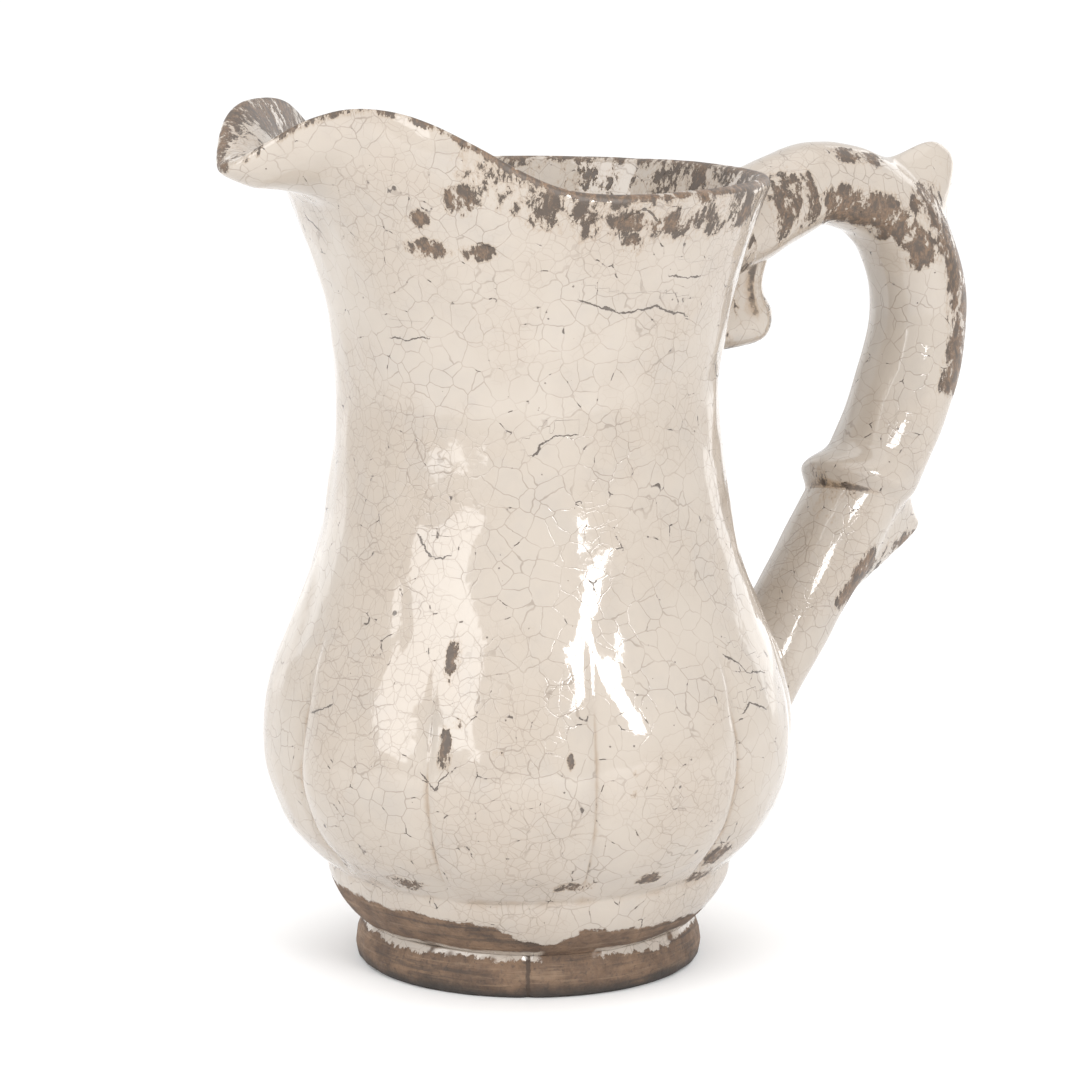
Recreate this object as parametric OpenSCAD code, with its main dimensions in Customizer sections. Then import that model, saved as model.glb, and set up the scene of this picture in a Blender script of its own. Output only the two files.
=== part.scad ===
// Ceramic pitcher: a lobed baluster vase on a foot ring, with a beaked spout and an applied scroll handle.
// Units are millimetres. The origin is the centre of the foot on the resting plane, +Z is up,
// the spout points along -X and the handle along +X, and the handle lies in the XZ plane.

/* [Foot] */
// Height of the foot ring
foot_h = 15; // [8:0.5:30]
// Widest radius of the foot ring
foot_r = 60.3; // [40:0.1:80]
// Radius of the ring where it meets the resting plane
foot_base_r = 58; // [40:0.1:80]
// Radius of the waist between the foot ring and the vase
waist_r = 57.3; // [40:0.1:80]
// Inner radius of the foot ring
foot_bore_r = 44; // [30:0.1:60]
// Thickness of the floor slab
floor_t = 9; // [5:0.5:15]
// Radius of the floor slab
floor_r = 50; // [30:0.5:56]

/* [Vase] */
// Height of the ledge where the lobes start
ledge_z = 36; // [25:0.5:60]
// Radius of the ledge
ledge_r = 69.9; // [50:0.1:90]
// Height of the fullest part of the belly
belly_z = 76; // [50:0.5:120]
// Radius of the belly over the lobes
belly_r = 92.9; // [60:0.1:130]
// Height of the narrowest part of the neck
neck_z = 192; // [150:0.5:230]
// Radius of the neck
neck_r = 65.7; // [40:0.1:90]
// Height of the plain rim
rim_z = 270.8; // [240:0.1:320]
// Radius of the rim
rim_r = 83.3; // [60:0.1:110]
// Wall thickness
wall_t = 7.2; // [4:0.1:12]
// Wall thickness at the rim
lip_t = 5.4; // [3:0.1:8]

/* [Lobes] */
// Number of lobes round the belly
lobes = 10; // [6:1:16]
// Depth of the grooves between the lobes
groove_d = 3.2; // [0:0.1:6]
// Height where the grooves have faded out
groove_top_z = 135; // [90:1:180]

/* [Spout] */
// How far the beak reaches beyond the rim
beak_out = 29.5; // [10:0.5:50]
// Half angle of the beak on the spout's right side, degrees
beak_a = 17; // [8:0.5:30]
// How much wider the beak spreads on its left side, degrees
beak_left_a = 4; // [0:0.5:12]
// How far the front of the rim flares beyond the plain rim
flare = 5.5; // [0:0.5:12]
// Rise of the rim on the right side of the beak
hump_h = 29.3; // [5:0.1:45]
// How much lower the left rise is
hump_left_drop = 2; // [0:0.1:6]
// Half angle of the right rise, degrees
hump_a = 53.4; // [30:0.1:80]
// Half angle of the left rise, which ends more steeply, degrees
hump_left_a = 59; // [30:0.1:80]
// Drop of the rim between the rises, at the tip of the beak
dip_h = 26; // [0:0.5:30]
// Half angle of the drop, degrees
dip_a = 11.9; // [6:0.1:20]
// Extra thickness of the rolled lip at the tip of the beak
nose_t = 6; // [0:0.5:10]
// Half angle of the rolled lip, degrees
nose_a = 14; // [6:0.5:30]
// Height of the luting joint under the beak
joint_z = 226; // [200:1:250]

/* [Handle] */
// Radius of the handle at the grip
grip_r = 17.4; // [10:0.1:22]
// Radius of the handle at the top of its arch
arch_r = 15; // [8:0.1:20]
// Width of the handle across, over its thickness
handle_w = 1.04; // [0.8:0.01:1.3]
// Radius of the collar round the handle
collar_r = 21.6; // [16:0.1:26]
// How far the collar sits towards the vessel
collar_shift = 1.6; // [0:0.1:4]
// Length of the thumb rest
thumb_l = 23.5; // [8:0.5:34]
// Length of the spur below the collar
spur_l = 27; // [6:0.5:32]

/* [Detail] */
// Facets of each lobe
lobe_facets = 10; // [4:2:16]
// Facets round the handle
tube_facets = 28; // [12:2:48]

/* [Hidden] */
columns = lobes * lobe_facets;
ledge_share = 0.12;                    // share of the outer wall's rows that lie below the ledge
lift_from = 0.80;                      // share of the wall's rows where the rim starts to rise
lift_power = 4;
beak_from = 0.935;                     // share of the wall's rows where the beak turns out
beak_power = 1.6;
groove_power = 0.5;
groove_start = 8;                      // how far above the ledge a groove reaches its full depth
groove_fade_z = 95;                    // height where the grooves start to fade
flare_a = 50;                          // how far round the flare of the rim goes, to each side
belly_foot = 0.65;                     // how full the belly is just above the ledge

band = [
    [waist_r, foot_h],
    [waist_r + 5, foot_h + 4.5],
    [ledge_r - 3.2, ledge_z - 10.5],
    [ledge_r - 0.5, ledge_z - 4.5],
    [ledge_r, ledge_z]
];
vase = [
    [ledge_r, ledge_z],
    [mix(ledge_r, belly_r, belly_foot), mix(ledge_z, belly_z, 0.40)],
    [belly_r, belly_z],
    [mix(neck_r, belly_r, 0.84), mix(belly_z, neck_z, 0.24)],
    [mix(neck_r, belly_r, 0.30), mix(belly_z, neck_z, 0.555)],
    [neck_r, neck_z],
    [mix(neck_r, rim_r, 0.10), mix(neck_z, rim_z, 0.36)],
    [mix(neck_r, rim_r, 0.47), mix(neck_z, rim_z, 0.70)],
    [rim_r, rim_z]
];
// Handle: x and z of the centre line, then the radius there.
grip_path = [
    [72, 246, arch_r + 3],
    [88, 252, arch_r + 2],
    [103, 258.8, arch_r + 0.8],
    [123, 263, arch_r - 0.2],
    [144.6, 257.3, arch_r + 0.3],
    [160.6, 244.5, arch_r + 1.7],
    [168.4, 222.3, grip_r + 0.3],
    [165.4, 192.5, grip_r],
    [153.6, 168.4, grip_r - 0.4],
    [136.4, 140.5, grip_r - 0.8],
    [115.8, 113, grip_r - 1.2],
    [97.5, 86.5, grip_r - 2],
    [82, 63, grip_r - 2.4]
];
thumb_at = 4.75;                       // places along grip_path, in points
collar_at = 8.66;
collar_tilt = 0.18;                    // how far up the path the collar's ring tilts, in points
low_side_a = 32;                       // where the ring is lowest, round the handle from the vessel's side
spur_at = 9.1;
fin_at = 9.75;
// Drop terminal below the upper joint: x, z and radius, as above.
drop_path = [
    [90, 248, 8],
    [88.6, 241, 9.2],
    [87, 233, 9],
    [86.6, 226, 9.8],
    [87.5, 218.5, 12.2],
    [88.8, 212, 9.6],
    [89.2, 208.8, 6]
];
drop_w = 1.05;                         // width of the drop over its thickness
drop_depth = 2.3;                      // how much deeper it is towards the neck, so that it reaches the wall

function mix(a, b, t) = a + (b - a) * t;
function clamp01(t) = max(0, min(1, t));
function smooth(t) = let (x = clamp01(t)) x * x * (3 - 2 * x);
function last(list) = len(list) - 1;

// A smooth curve through the points of a list; place 0 is the first point, place 1 the second.
function along(list, place) =
    let (n = last(list), i = min(max(floor(place), 0), n - 1), f = place - i,
         a = list[max(i - 1, 0)], b = list[i], c = list[i + 1], d = list[min(i + 2, n)])
    0.5 * (2 * b + (c - a) * f + (2 * a - 5 * b + 4 * c - d) * f * f + (3 * b - a - 3 * c + d) * f * f * f);

// Profile of the outer wall: radius and height at share u of its rows.
function profile(u) = u < ledge_share
    ? along(band, u / ledge_share * last(band))
    : along(vase, (u - ledge_share) / (1 - ledge_share) * last(vase));

// How deep the grooves are cut at a height: they start at the ledge and fade out above the belly.
function groove_at(z) = groove_d * clamp01((z - ledge_z) / groove_start)
    * (1 - smooth((z - groove_fade_z) / (groove_top_z - groove_fade_z)));
function between_grooves(a) = pow(abs(sin(lobes * a / 2)), groove_power);

// A bell curve over the angle from the spout: 1 in the middle, falling off at its half angle.
function bell(a, half, power = 2) = exp(-pow(abs(a) / half, power));
// The two sides of a hand-shaped spout differ a little: positive angles are its right side.
function by_side(a, right, left) = a > 0 ? right : left;
function share_above(u, from) = clamp01((u - from) / (1 - from));
function rise_at(a) = by_side(a, hump_h * bell(a, hump_a, 4),
    (hump_h - hump_left_drop * smooth(-a / 20)) * bell(a, hump_left_a, 7));

// A point of the vessel's skin. Angle a is measured from the spout; lobed is 1 outside and 0 inside.
function skin(a, u, lobed) =
    let (p = profile(min(u, 1)),
         lift = share_above(u, lift_from),
         turn = pow(share_above(u, beak_from), beak_power),
         groove = lobed * groove_at(p[1]) * (1 - between_grooves(a)),
         beak = beak_out * bell(a, by_side(a, beak_a, beak_a + beak_left_a)) * turn,
         r = p[0] - groove + beak + flare * bell(a, flare_a, 4) * lift * lift,
         z = p[1] + rise_at(a) * pow(lift, lift_power) - dip_h * bell(a, dip_a) * turn)
    [-r * cos(a), -r * sin(a), z];

function unit(v) = v / norm(v);
function skin_normal(a, u) =
    let (da = 0.5, du = 0.004)
    unit(cross(skin(a + da, u, 0) - skin(a - da, u, 0), skin(a, min(u + du, 1), 0) - skin(a, u - du, 0)));
function inside(a, u, depth) = skin(a, u, 0) - depth * skin_normal(a, u);

// Faces of a grid of points with m points in each column, closed round its n columns.
function grid_faces(n, m, ring) = [
    for (i = [0:n - 1], j = [0:(ring ? m - 1 : m - 2)], half = [0, 1])
        let (k = (i + 1) % n, l = (j + 1) % m)
        half == 0 ? [i * m + j, i * m + l, k * m + l] : [i * m + j, k * m + l, k * m + j]
];

// Rows of the wall's section, closer together where the beak turns out.
lip_u = 0.985;
function steps(from, to, n) = [for (j = [1:n]) mix(from, to, j / n)];
outer_rows = concat([0], steps(0, ledge_share, 4), steps(ledge_share, lift_from, 13),
    steps(lift_from, beak_from, 5), steps(beak_from, lip_u, 6));
inner_rows = concat([lip_u], steps(lip_u, beak_from, 5), steps(beak_from, lift_from, 4),
    steps(lift_from, ledge_share + 0.005, 8));

function column_angle(i) = let (a = 360 * i / columns) a > 180 ? a - 360 : a;
function thickness(a, u) = mix(wall_t, lip_t, smooth((u - 0.55) / 0.4))
    + nose_t * bell(a, nose_a) * smooth(share_above(u, 0.8));
function on_circle(a, r, z) = [-r * cos(a), -r * sin(a), z];

// One column of the wall's section: up the outside, over the rounded rim, down the inside, in to the floor.
function wall_column(a) = concat(
    [for (u = outer_rows) skin(a, u, 1)],
    [for (f = [0.18, 0.5, 0.82]) inside(a, f == 0.5 ? 1 : 0.996, f * (lip_t + nose_t * bell(a, nose_a)))],
    [for (u = inner_rows) inside(a, u, thickness(a, u))],
    [on_circle(a, floor_r + 7, foot_h + floor_t + 6), on_circle(a, floor_r, foot_h + floor_t),
     on_circle(a, floor_r, foot_h)]
);

// The vessel's whole wall, from the waist to the rim.
module wall() {
    columns_of_points = [for (i = [0:columns - 1]) wall_column(column_angle(i))];
    m = len(columns_of_points[0]);
    polyhedron([for (c = columns_of_points) each c], grid_faces(columns, m, true));
}

// The space inside the vessel's skin, filled, which the applied parts are fitted against.
module filled_vessel() {
    rows = concat([for (u = outer_rows) u], [1]);
    m = len(rows);
    n = columns * m;
    points = concat(
        [for (i = [0:columns - 1]) for (u = rows) skin(column_angle(i), u, 1)],
        [[0, 0, foot_h], [0, 0, rim_z]]
    );
    ends = [for (i = [0:columns - 1]) let (k = (i + 1) % columns)
        each [[n, i * m, k * m], [n + 1, k * m + m - 1, i * m + m - 1]]];
    polyhedron(points, concat(grid_faces(columns, m, false), ends));
}

// Everything above the slanting joint where the spout is luted to the body.
module above_joint() {
    reach = 2 * rim_r;
    joint_end_x = 16;
    slope = atan2(rim_z + 1 - joint_z, joint_end_x + neck_r);
    translate([-neck_r, 0, joint_z])
        rotate([0, -slope, 0])
            translate([-reach, -reach, 0])
                cube([reach + (joint_end_x + neck_r) / cos(slope), 2 * reach, 2 * reach]);
}

// A tube along a path in the XZ plane; each path point gives x, z and the radius.
function path_frame(path, place) =
    let (d = 0.02, t2 = along(path, place + d) - along(path, place - d), t = unit([t2[0], 0, t2[1]]))
    [t, cross([0, 1, 0], t)];
function tube_ring(path, place, widen, grow, shift, deepen, tilt) =
    [for (i = [0:tube_facets - 1])
        let (b = 360 * i / tube_facets,
             here = place - tilt * (1 - cos(b - low_side_a)),
             p = along(path, here),
             inward = path_frame(path, here)[1],
             deep = cos(b) > 0 ? deepen : 1,
             r = p[2] + grow)
        [p[0], r * widen * sin(b), p[1]] + inward * (shift + r * deep * cos(b))];

// The tube may bulge between ends that are sunk, shift or deepen towards the side that faces the vessel, and
// have its rings tilted.
module tube(path, from, to, count, widen = 1, bulge = 0, sink = 0, shift = 0, deepen = 1, tilt = 0) {
    rings = [for (j = [0:count])
        let (grow = bulge * sin(180 * j / count) - sink)
        tube_ring(path, mix(from, to, j / count), widen, grow, shift, deepen, tilt)];
    m = count + 1;
    polyhedron(
        [for (i = [0:tube_facets - 1]) for (ring = rings) ring[i]],
        concat(
            grid_faces(tube_facets, m, false),
            [[for (i = [0:tube_facets - 1]) i * m], [for (i = [tube_facets - 1:-1:0]) i * m + m - 1]]
        )
    );
}

module grip() {
    tube(grip_path, 0.2, last(grip_path) - 0.1, 56, handle_w);
}

// A round-ended horn between two balls, for the applied lumps of clay.
module horn(from, to, r1, r2) {
    hull() {
        translate(from)
            sphere(r1, $fn = 28);
        translate(to)
            sphere(r2, $fn = 20);
    }
}

// A coil of clay pressed into the crease where a tube meets the wall.
module coil(centre, tilt, r, thick, stretch) {
    translate(centre)
        rotate([0, tilt, 0])
            scale([stretch, handle_w, 1])
                rotate_extrude($fn = 40)
                    translate([r, 0])
                        circle(thick, $fn = 14);
}

// Joins its children into one faceted solid.
module as_one() {
    resize([0, 0, 0])
        children();
}

module foot_ring() {
    color("#5a4a3c")
        rotate_extrude($fn = 120)
            polygon([
                [foot_bore_r, 0],
                [foot_base_r, 0],
                [foot_base_r + 1.5, 1.5],
                [foot_r, foot_h / 3],
                [foot_r - 0.5, foot_h * 0.6],
                [foot_base_r + 0.5, foot_h - 2.5],
                [waist_r, foot_h],
                [foot_bore_r - 2, foot_h]
            ]);
}

module base_slab() {
    color("#6b5a4a")
        translate([0, 0, foot_h])
            cylinder(r = floor_r, h = floor_t, $fn = 120);
}

module body() {
    color("#e6ddd2")
        as_one()
            difference() {
                wall();
                above_joint();
            }
}

module spout() {
    color("#ded3c6")
        as_one()
            intersection() {
                wall();
                above_joint();
            }
}

module handle() {
    color("#e2d8cc")
        as_one()
            difference() {
                grip();
                filled_vessel();
            }
}

module thumb_rest() {
    p = along(grip_path, thumb_at);
    lean = [cos(53), 0, sin(53)];
    root = [p[0], 0, p[1]];
    tip = root + lean * thumb_l;
    color("#d3c7b8")
        as_one()
            difference() {
                union() {
                    horn(root + lean * 6, tip, 12, 7.6);
                    horn(root + [-5, 0, 4], tip + [-3, 0, 1], 11, 6.6);
                }
                grip();
            }
}

module collar_ring() {
    half = 0.27;                       // half its length, in points of grip_path
    sink = 2.6;
    swell = collar_r - grip_r + sink;
    tube(grip_path, collar_at - half, collar_at + half, 10, handle_w, swell, sink,
         collar_shift, tilt = collar_tilt);
}

module handle_collar() {
    color("#d8ccbe")
        as_one()
            difference() {
                collar_ring();
                grip();
            }
}

module handle_spur() {
    p = along(grip_path, spur_at);
    q = along(grip_path, spur_at - 0.25);
    f = along(grip_path, fin_at);
    f_out = -path_frame(grip_path, fin_at)[1];
    root = [p[0] + 6, 0, p[1] + 2];
    tip = root + spur_l * [0.998, 0, -0.06];
    color("#d3c7b8")
        as_one()
            difference() {
                union() {
                    horn(root, tip, 10, 2.6);
                    horn([q[0] + 7, 0, q[1]], tip + [-3, 0, 3], 9, 3.2);
                    horn([f[0], 0, f[1]] + f_out * (f[2] - 2), tip, 2.5, 2.6);
                }
                grip();
                collar_ring();
            }
}

module drop() {
    tube(drop_path, 0, last(drop_path), 24, drop_w, deepen = drop_depth);
}

module drop_terminal() {
    color("#dbcfc1")
        as_one()
            difference() {
                drop();
                filled_vessel();
                grip();
            }
}

module upper_luting() {
    color("#cfc2b2")
        as_one()
            difference() {
                coil([76, 0, 250], 111, arch_r + 2.4, 4.2, 1.3);
                filled_vessel();
                grip();
                drop();
            }
}

module lower_luting() {
    color("#cfc2b2")
        as_one()
            difference() {
                coil([92, 0, 79], 81, grip_r - 1, 4.2, 1.45);
                filled_vessel();
                grip();
            }
}

foot_ring();
base_slab();
body();
spout();
handle();
thumb_rest();
handle_collar();
handle_spur();
drop_terminal();
upper_luting();
lower_luting();
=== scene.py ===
# %% [markdown]
# # A crackle-glazed pitcher
#
# The object is a hand-made earthenware pitcher: a baluster vase with ten lobes round its belly, a foot ring
# of bare clay, a rolled beak for a spout, and a thick scroll handle with a thumb rest, a collar and a spur.
# The CAD model comes first as a fixed frame. Every piece made here lies in that frame, in metres, and stands
# for one CAD node, which is hidden when the piece is finished.

import bmesh
import bpy
import numpy as np
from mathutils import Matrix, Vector


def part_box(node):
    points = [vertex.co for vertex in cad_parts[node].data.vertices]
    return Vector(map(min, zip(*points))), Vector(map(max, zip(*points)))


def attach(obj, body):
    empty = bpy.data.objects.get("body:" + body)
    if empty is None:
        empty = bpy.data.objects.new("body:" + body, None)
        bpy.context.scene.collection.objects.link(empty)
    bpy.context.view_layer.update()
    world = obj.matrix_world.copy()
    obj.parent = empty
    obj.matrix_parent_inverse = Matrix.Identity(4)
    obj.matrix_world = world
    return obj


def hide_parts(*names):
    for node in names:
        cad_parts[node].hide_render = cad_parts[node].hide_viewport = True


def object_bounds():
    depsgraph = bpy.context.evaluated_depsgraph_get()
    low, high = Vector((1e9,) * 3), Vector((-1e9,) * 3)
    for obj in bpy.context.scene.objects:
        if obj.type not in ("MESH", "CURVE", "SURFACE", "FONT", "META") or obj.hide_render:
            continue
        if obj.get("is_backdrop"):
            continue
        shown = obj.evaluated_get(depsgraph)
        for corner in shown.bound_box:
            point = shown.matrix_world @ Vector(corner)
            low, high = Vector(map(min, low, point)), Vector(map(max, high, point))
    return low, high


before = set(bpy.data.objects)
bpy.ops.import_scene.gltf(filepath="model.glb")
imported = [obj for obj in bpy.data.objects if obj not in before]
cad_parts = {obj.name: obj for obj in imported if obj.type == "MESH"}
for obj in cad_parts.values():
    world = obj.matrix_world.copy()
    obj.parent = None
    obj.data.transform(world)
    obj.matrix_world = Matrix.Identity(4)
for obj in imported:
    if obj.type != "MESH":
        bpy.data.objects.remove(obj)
cad_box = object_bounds()
print("nodes:", sorted(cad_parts))

# %% [markdown]
# ## The camera
#
# The pitcher is seen from the front, a little above its rim, with the spout turned away to the left by about
# a third of a right angle. A long lens keeps the sides nearly parallel. The object stands slightly left of
# the middle, which a small sensor shift gives without turning the camera.

# %% Camera
MM = 0.001
TURN = np.radians(32.5)                 # how far the camera stands round to the spout's side
AWAY, EYE_Z, AIM_Z = 1352 * MM, 390 * MM, 146.3 * MM

camera = bpy.data.objects.new("camera", bpy.data.cameras.new("camera"))
bpy.context.scene.collection.objects.link(camera)
bpy.context.scene.camera = camera
camera.location = (-AWAY * np.sin(TURN), -AWAY * np.cos(TURN), EYE_Z)
camera.rotation_mode = "QUATERNION"
camera.rotation_quaternion = (Vector((0, 0, AIM_Z)) - camera.location).to_track_quat("-Z", "Y")
camera.data.sensor_width = 36
camera.data.lens = 132.9
camera.data.shift_x = 0.011
camera.data.clip_end = 50
print("camera at", [round(c, 3) for c in camera.location])

# %% [markdown]
# ## Curves and surfaces
#
# Clay shapes are smooth, so each one is a formula on a grid of two parameters, worked out as whole arrays.
# A Catmull-Rom curve carries a profile or a path through a few points, and a smooth step fades things in.

# %% Curves
def mix(a, b, t):
    """a + (b - a) t: a where t is 0, b where t is 1."""
    return a + (b - a) * t


def smooth(t):
    """3 t^2 - 2 t^3 between 0 and 1, level at both ends."""
    t = np.clip(t, 0, 1)
    return t * t * (3 - 2 * t)


def bell(x, half, power=2):
    """exp(-(|x| / half) ^ power): 1 at x = 0, falling away beyond half."""
    return np.exp(-(np.abs(x) / half) ** power)


def along(points, place):
    """The Catmull-Rom curve through the points; place 0 is the first point, place 1 the second."""
    points, place = np.asarray(points, float), np.asarray(place, float)
    last = len(points) - 1
    i = np.clip(np.floor(place).astype(int), 0, last - 1)
    f = (place - i)[..., None]
    a, b, c, d = points[np.maximum(i - 1, 0)], points[i], points[i + 1], points[np.minimum(i + 2, last)]
    return 0.5 * (2 * b + (c - a) * f + (2 * a - 5 * b + 4 * c - d) * f**2 + (3 * b - a - 3 * c + d) * f**3)


def unit(v):
    """v over its own length."""
    return v / np.maximum(np.linalg.norm(v, axis=-1, keepdims=True), 1e-12)


def turn_from(angle, middle):
    """Degrees from middle round to angle, between -180 and 180."""
    return (angle - middle + 180) % 360 - 180


def from_axis(p):
    """Level distance of the points p from the vessel's axis: the root of x^2 + y^2."""
    return np.hypot(p[..., 0], p[..., 1])


# %% [markdown]
# Real pots aren't perfect. A few slow waves through space, the same for every piece, push the clay in and
# out by a fraction of a millimetre, so that the long reflections of the windows wander as they should.

# %% Unevenness of the clay
seed = np.random.default_rng(7)
WAVE_COUNT = 22
wave_length = np.geomspace(70, 9, WAVE_COUNT) * MM
wave_heading = unit(seed.normal(size=(WAVE_COUNT, 3))) * (2 * np.pi / wave_length)[:, None]
wave_start = seed.uniform(0, 2 * np.pi, WAVE_COUNT)
wave_height = 0.0032 * wave_length


def unevenness(p):
    """The sum of the waves' sines at the points p, each wave about 1/300 of its length high."""
    return (np.sin(p @ wave_heading.T + wave_start) * wave_height).sum(-1)


def uneven(p, outward):
    """The points p moved along outward by the unevenness there."""
    return p + outward * unevenness(p)[..., None]


# %% [markdown]
# ## Turning a grid into a mesh
#
# A grid of points becomes quads between neighbours. Columns run round the piece and rows run along its
# section. A shell is closed in one of two ways: its rows also run round, as on a tyre, or its first and last
# rows shrink to a point. The attributes wear and crease go with the points and tell the glaze where it is
# rubbed and where it is darker: painted shade in the grooves and under the ledge, and dark joints and edges.
# The wall carries two more, which tell it where the open cracks run.

# %% Mesh from a grid
def grid_quads(columns, rows, ring):
    """Corner numbers of the quads of a grid closed round its columns, and round its rows too if ring."""
    i, j = np.meshgrid(np.arange(columns), np.arange(rows if ring else rows - 1), indexing="ij")
    next_i, next_j = (i + 1) % columns, (j + 1) % rows
    corners = [i * rows + j, next_i * rows + j, next_i * rows + next_j, i * rows + next_j]
    return np.stack(corners, -1).reshape(-1, 4)


def make_mesh(name, points, quads, **attributes):
    """A mesh object of the quads, with doubled points merged, faces outwards and shaded smooth."""
    mesh = bpy.data.meshes.new(name)
    mesh.from_pydata(points.reshape(-1, 3).tolist(), [], quads.tolist())
    for key, values in attributes.items():
        layer = mesh.attributes.new(key, "FLOAT", "POINT")
        layer.data.foreach_set("value", np.ascontiguousarray(values, np.float32).ravel())
    work = bmesh.new()
    work.from_mesh(mesh)
    bmesh.ops.remove_doubles(work, verts=work.verts, dist=0.004 * MM)
    bmesh.ops.recalc_face_normals(work, faces=work.faces)
    work.to_mesh(mesh)
    work.free()
    mesh.shade_smooth()
    piece = bpy.data.objects.new(name, mesh)
    bpy.context.scene.collection.objects.link(piece)
    return piece


def finish_piece(piece, material, slot_name, *nodes):
    """Gives a piece its finish and its body, and hides the CAD nodes that it stands for."""
    piece.data.materials.clear()
    piece.data.materials.append(material)
    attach(piece, "root")
    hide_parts(*nodes)
    size = [round(s * 1000, 1) for s in piece.dimensions]
    print(piece.name, "size in mm", size, "faces", len(piece.data.polygons))


# %% [markdown]
# ## The vessel's skin
#
# The outer wall is a profile turned round the axis. Below the ledge it is a plain rounded band; above it the
# belly swells, the neck narrows and the rim opens. Three things break the turned shape: ten grooves that
# part the lobes, the front of the rim rising in two shoulders, and the beak pushed out between them.

# %% Profile of the wall
FOOT_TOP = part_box("foot_ring")[1][2]
FLOOR_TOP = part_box("base_slab")[1][2]
FLOOR_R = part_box("base_slab")[1][0]
WAIST_R, LEDGE_R, BELLY_R, NECK_R, RIM_R = 57.3 * MM, 69.9 * MM, 92.9 * MM, 65.7 * MM, 83.3 * MM
LEDGE_Z, BELLY_Z, NECK_Z, RIM_Z = 36 * MM, 76 * MM, 192 * MM, 270.8 * MM
LEDGE_SHARE = 0.12                      # share of the outer wall's rows that lie below the ledge

band = [
    (WAIST_R, FOOT_TOP),
    (WAIST_R + 5 * MM, FOOT_TOP + 4.5 * MM),
    (LEDGE_R - 3.2 * MM, LEDGE_Z - 10.5 * MM),
    (LEDGE_R - 0.5 * MM, LEDGE_Z - 4.5 * MM),
    (LEDGE_R, LEDGE_Z),
]
vase = [
    (LEDGE_R, LEDGE_Z),
    (mix(LEDGE_R, BELLY_R, 0.65), mix(LEDGE_Z, BELLY_Z, 0.40)),
    (BELLY_R, BELLY_Z),
    (mix(NECK_R, BELLY_R, 0.84), mix(BELLY_Z, NECK_Z, 0.24)),
    (mix(NECK_R, BELLY_R, 0.30), mix(BELLY_Z, NECK_Z, 0.555)),
    (NECK_R, NECK_Z),
    (mix(NECK_R, RIM_R, 0.10), mix(NECK_Z, RIM_Z, 0.36)),
    (mix(NECK_R, RIM_R, 0.47), mix(NECK_Z, RIM_Z, 0.70)),
    (RIM_R, RIM_Z),
]


def profile(u):
    """Radius and height of the outer wall at share u of its rows, from the waist at 0 to the rim at 1."""
    u = np.clip(u, 0, 1)
    low = along(band, u / LEDGE_SHARE * (len(band) - 1))
    high = along(vase, (u - LEDGE_SHARE) / (1 - LEDGE_SHARE) * (len(vase) - 1))
    return np.where((u < LEDGE_SHARE)[..., None], low, high)


# %% [markdown]
# Angles go round from the spout, in degrees, and are positive on the side that faces the camera. Each change
# to the turned shape is a bell over the angle, times a share that grows from nothing towards the rim.

# %% Grooves, shoulders and beak
LOBES, GROOVE_DEPTH, GROOVE_POWER = 10, 3.2 * MM, 0.5
GROOVE_START = 8 * MM                   # how far above the ledge a groove reaches its full depth
GROOVE_FADE, GROOVE_TOP = 95 * MM, 135 * MM
LIFT_FROM, LIFT_POWER = 0.80, 4
BEAK_FROM, BEAK_POWER = 0.935, 1.6
BEAK_OUT, BEAK_A, BEAK_LEFT_A, FLARE, FLARE_A = 29.5 * MM, 17, 21, 5.5 * MM, 50
RISE, RISE_LEFT_DROP, RISE_A, RISE_LEFT_A = 29.3 * MM, 2 * MM, 53.4, 59
DIP, DIP_A = 26 * MM, 11.9


def groove_share(a, z):
    """How deep in a groove a point is, 0 to 1: a sharp valley between lobes that fades above the belly."""
    rise = np.clip((z - LEDGE_Z) / GROOVE_START, 0, 1)
    reach = rise * (1 - smooth((z - GROOVE_FADE) / (GROOVE_TOP - GROOVE_FADE)))
    return reach * (1 - np.abs(np.sin(np.radians(LOBES * a / 2))) ** GROOVE_POWER)


def share_above(u, start):
    """(u - start) / (1 - start): 0 up to start, 1 where u is 1."""
    return np.clip((u - start) / (1 - start), 0, 1)


def rise_at(a):
    """How far the rim rises over the plain rim; the two shoulders differ a little, as made by hand."""
    right = RISE * bell(a, RISE_A, 4)
    left = (RISE - RISE_LEFT_DROP * smooth(-a / 20)) * bell(a, RISE_LEFT_A, 7)
    return np.where(a > 0, right, left)


def skin(a, u, lobed=1.0):
    """The turned profile, less the grooves, plus the beak's push outwards and the rim's rise and dip."""
    radius, height = np.moveaxis(profile(u), -1, 0)
    lift = share_above(u, LIFT_FROM)
    turn = share_above(u, BEAK_FROM) ** BEAK_POWER
    radius = radius - lobed * GROOVE_DEPTH * groove_share(a, height)
    radius = radius + BEAK_OUT * bell(a, np.where(a > 0, BEAK_A, BEAK_LEFT_A)) * turn
    radius = radius + FLARE * bell(a, FLARE_A, 4) * lift**2
    height = height + rise_at(a) * lift**LIFT_POWER - DIP * bell(a, DIP_A) * turn
    t = np.radians(a)
    return np.stack([-radius * np.cos(t), -radius * np.sin(t), height], -1)


def skin_normal(a, u):
    """Unit normal of the plain skin, from the cross product of its two small steps."""
    da, du = 0.5, 0.004
    across = skin(a + da, u, 0) - skin(a - da, u, 0)
    up = skin(a, np.minimum(u + du, 1), 0) - skin(a, u - du, 0)
    return unit(np.cross(across, up))


# %% [markdown]
# The wall has a thickness, so its section is a loop: up the outside, over a rounded lip, down the inside and
# across to the floor slab. The lip is thickest where the beak is rolled over. The whole wall is made once,
# then cut by the slanting plane along which the spout was luted on, which gives the body and the spout.

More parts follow.
